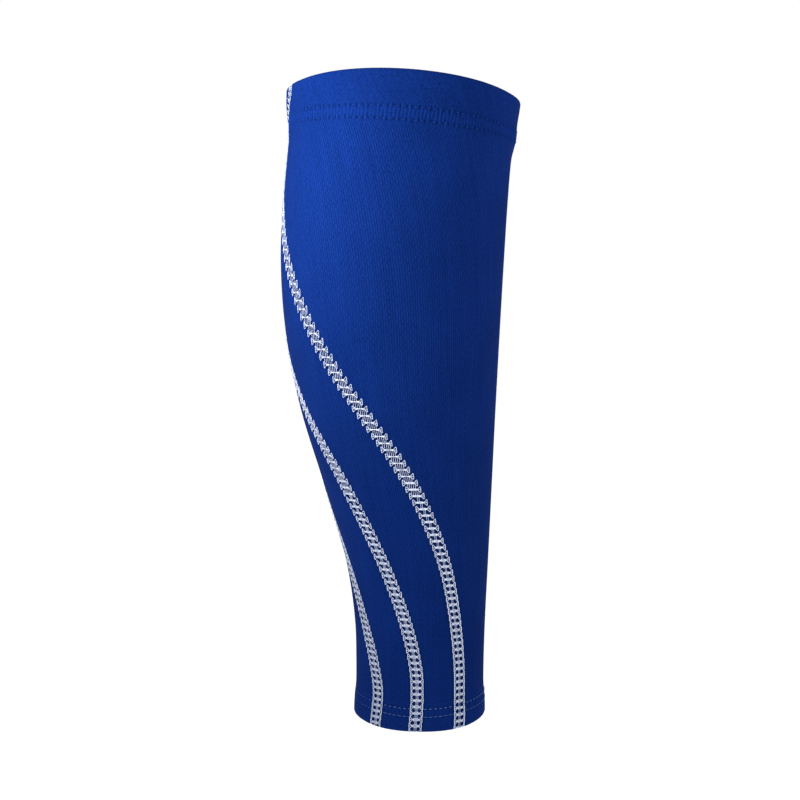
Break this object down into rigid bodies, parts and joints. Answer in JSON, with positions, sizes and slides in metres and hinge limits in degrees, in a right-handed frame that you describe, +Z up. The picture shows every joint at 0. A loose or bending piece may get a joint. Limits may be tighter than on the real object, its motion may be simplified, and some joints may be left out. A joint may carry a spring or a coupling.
{
  "type": "calf compression sleeve",
  "caption": "Knit calf compression sleeve in the shape a leg gives it, with turned hems and white flatlock seams that swirl from the outer ankle round the back of the calf.",
  "frame": {"origin": "on the leg's axis, level with the lowest point of the ankle opening's edge, which is the leg mount", "axes": "+X towards the shin, -Y towards the outer side of the leg, +Z up the leg to the knee"},
  "size_m": [0.1211, 0.1136, 0.3234],
  "materials": {
    "knit": "fine warp knit with a slight sheen, royal blue",
    "hem_knit": "the same knit turned and coverstitched, royal blue",
    "seam_thread": "white polyester flatlock thread"
  },
  "bodies": {
    "root": {"shin_panel": "knit", "side_panel": "knit", "calf_panel": "knit", "top_hem": "hem_knit", "ankle_hem": "hem_knit", "front_seam": "seam_thread", "middle_seam": "seam_thread", "rear_seam": "seam_thread"}
  },
  "joints": []
}
